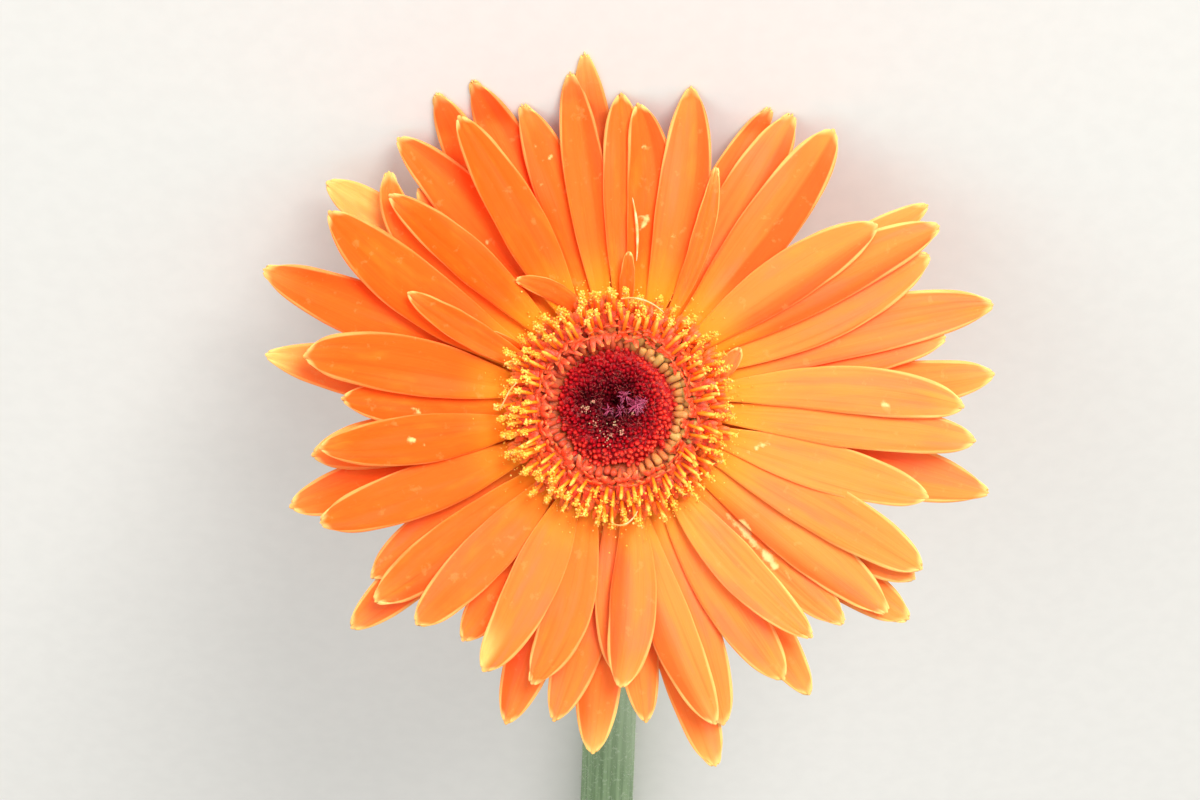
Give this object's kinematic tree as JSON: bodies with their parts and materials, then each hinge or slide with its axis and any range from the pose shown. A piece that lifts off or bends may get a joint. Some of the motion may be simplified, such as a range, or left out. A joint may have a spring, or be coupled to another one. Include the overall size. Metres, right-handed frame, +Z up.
{
  "type": "gerbera daisy",
  "caption": "Cut orange gerbera daisy lying down: layered petals spread round a dark red centre ringed by coral florets, on a green bracted cup and a thick bare stem.",
  "frame": {"origin": "middle of the base of the flower's box, on the surface that it lies on", "axes": "+Y from the cut end of the stem towards the bloom, +Z up, +X to the right of someone who looks along +Y"},
  "size_m": [0.1111, 0.2269, 0.0677],
  "materials": {
    "stem": "matte",
    "bracts": "matte",
    "petals": "satin",
    "opened_florets": "satin",
    "buds": "satin"
  },
  "bodies": {
    "root": {"scape": "stem", "involucre": "bracts", "ray_florets": "petals", "trans_florets": "opened_florets", "disc_florets": "buds"}
  },
  "joints": []
}
